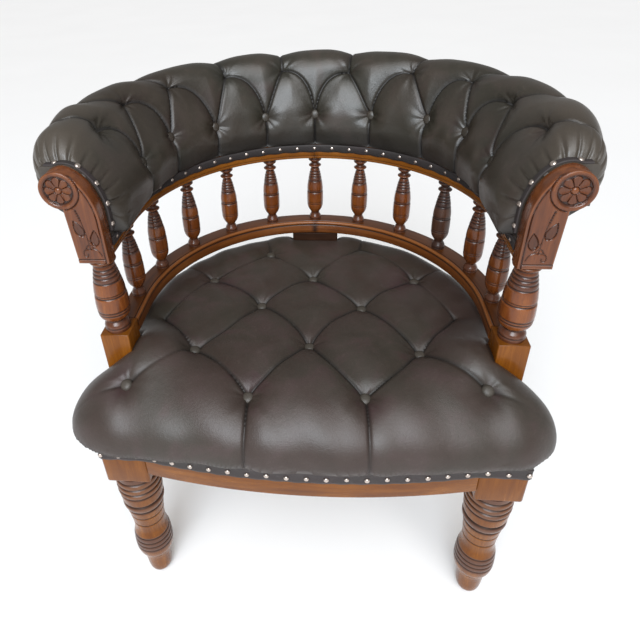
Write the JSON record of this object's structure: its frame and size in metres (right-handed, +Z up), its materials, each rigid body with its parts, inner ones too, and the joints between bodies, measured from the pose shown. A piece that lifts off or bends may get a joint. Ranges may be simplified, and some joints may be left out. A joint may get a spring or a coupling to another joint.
{
  "type": "tub chair",
  "caption": "Wooden tub chair with turned front legs, a spindle gallery between horseshoe bows, a rolled buttoned leather back, carved scroll arm ends and a deep buttoned leather seat.",
  "frame": {"origin": "on the floor under the middle of the chair's box", "axes": "+Z up, +Y from the front of the seat to the back, +X to the right as seen from the front looking along +Y"},
  "size_m": [0.681, 0.5547, 0.7825],
  "materials": {
    "red_wood": "aged red-brown turned walnut, satin polish, dark in the grooves",
    "golden_wood": "golden brown polished rails and legs with worn edges",
    "dark_wood": "dark stained block under the bow, dull",
    "frame_wood": "plain unpolished hidden frame wood",
    "seat_leather": "dark brown-grey hide, satin, buttoned in diamonds",
    "back_leather": "dark olive-charcoal hide, satin, buttoned and pleated",
    "banding": "narrow dark leather strip under the nails",
    "nail_metal": "domed upholstery nails, dull silver",
    "webbing": "woven jute straps",
    "hessian": "coarse plain weave"
  },
  "bodies": {
    "root": {"front_leg_left": "golden_wood", "rear_leg_left": "golden_wood", "side_seat_rail_left": "golden_wood", "corner_brace_left": "frame_wood", "arm_post_left": "red_wood", "arm_facing_left": "red_wood", "bow_dowel_left": "frame_wood", "lower_bow_left": "golden_wood", "upper_bow_left": "golden_wood", "front_leg_right": "golden_wood", "rear_leg_right": "golden_wood", "side_seat_rail_right": "golden_wood", "corner_brace_right": "frame_wood", "arm_post_right": "red_wood", "arm_facing_right": "red_wood", "bow_dowel_right": "frame_wood", "lower_bow_right": "golden_wood", "upper_bow_right": "golden_wood", "front_seat_rail": "golden_wood", "rear_seat_rail": "golden_wood", "back_support_block": "dark_wood", "spindle_01": "red_wood", "spindle_02": "red_wood", "spindle_03": "red_wood", "spindle_04": "red_wood", "spindle_05": "red_wood", "spindle_06": "red_wood", "spindle_07": "red_wood", "spindle_08": "red_wood", "spindle_09": "red_wood", "spindle_10": "red_wood", "spindle_11": "red_wood", "crest_rail": "frame_wood", "back_upright_1": "frame_wood", "back_upright_2": "frame_wood", "back_upright_3": "frame_wood", "back_upright_4": "frame_wood", "back_upright_5": "frame_wood", "back_upright_6": "frame_wood", "outside_back_cover": "back_leather", "back_cushion": "back_leather", "back_nailing_band": "banding", "seat_webbing": "webbing", "seat_hessian": "hessian", "seat_cushion": "seat_leather", "seat_nailing_band": "banding"}
  },
  "joints": []
}
